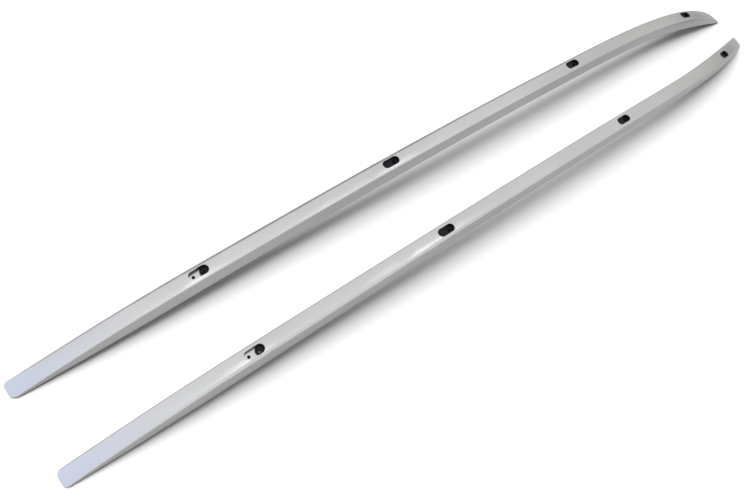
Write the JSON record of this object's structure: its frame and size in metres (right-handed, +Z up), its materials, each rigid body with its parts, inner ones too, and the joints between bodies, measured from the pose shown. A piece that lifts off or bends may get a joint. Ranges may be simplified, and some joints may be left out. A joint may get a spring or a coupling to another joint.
{
  "type": "roof side rail pair",
  "caption": "Mirrored pair of long low flush roof rails in satin aluminium, slotted in the top for their bolts, with tapering ends that follow the roof.",
  "frame": {"origin": "on the floor, midway between the two rails and midway along them", "axes": "+X forward along the rails, towards the ends that turn in; +Y to the left; +Z up"},
  "size_m": [1.9, 0.2086, 0.0977],
  "materials": {
    "rail_metal": "satin anodised, fine grain along the rail",
    "rubber": "matt",
    "black_plastic": "moulded, matt",
    "steel": "zinc plated"
  },
  "bodies": {
    "root": {"left_rail": "rail_metal", "left_seal_strip": "rubber", "left_bolt_ring": "black_plastic", "left_slot_liners": "black_plastic", "left_spacer_1": "black_plastic", "left_spacer_2": "black_plastic", "left_spacer_3": "black_plastic", "left_spacer_4": "black_plastic", "left_sleeves": "steel", "left_foot_pads": "rubber", "right_rail": "rail_metal", "right_seal_strip": "rubber", "right_bolt_ring": "black_plastic", "right_slot_liners": "black_plastic", "right_spacer_1": "black_plastic", "right_spacer_2": "black_plastic", "right_spacer_3": "black_plastic", "right_spacer_4": "black_plastic", "right_sleeves": "steel", "right_foot_pads": "rubber"}
  },
  "joints": []
}
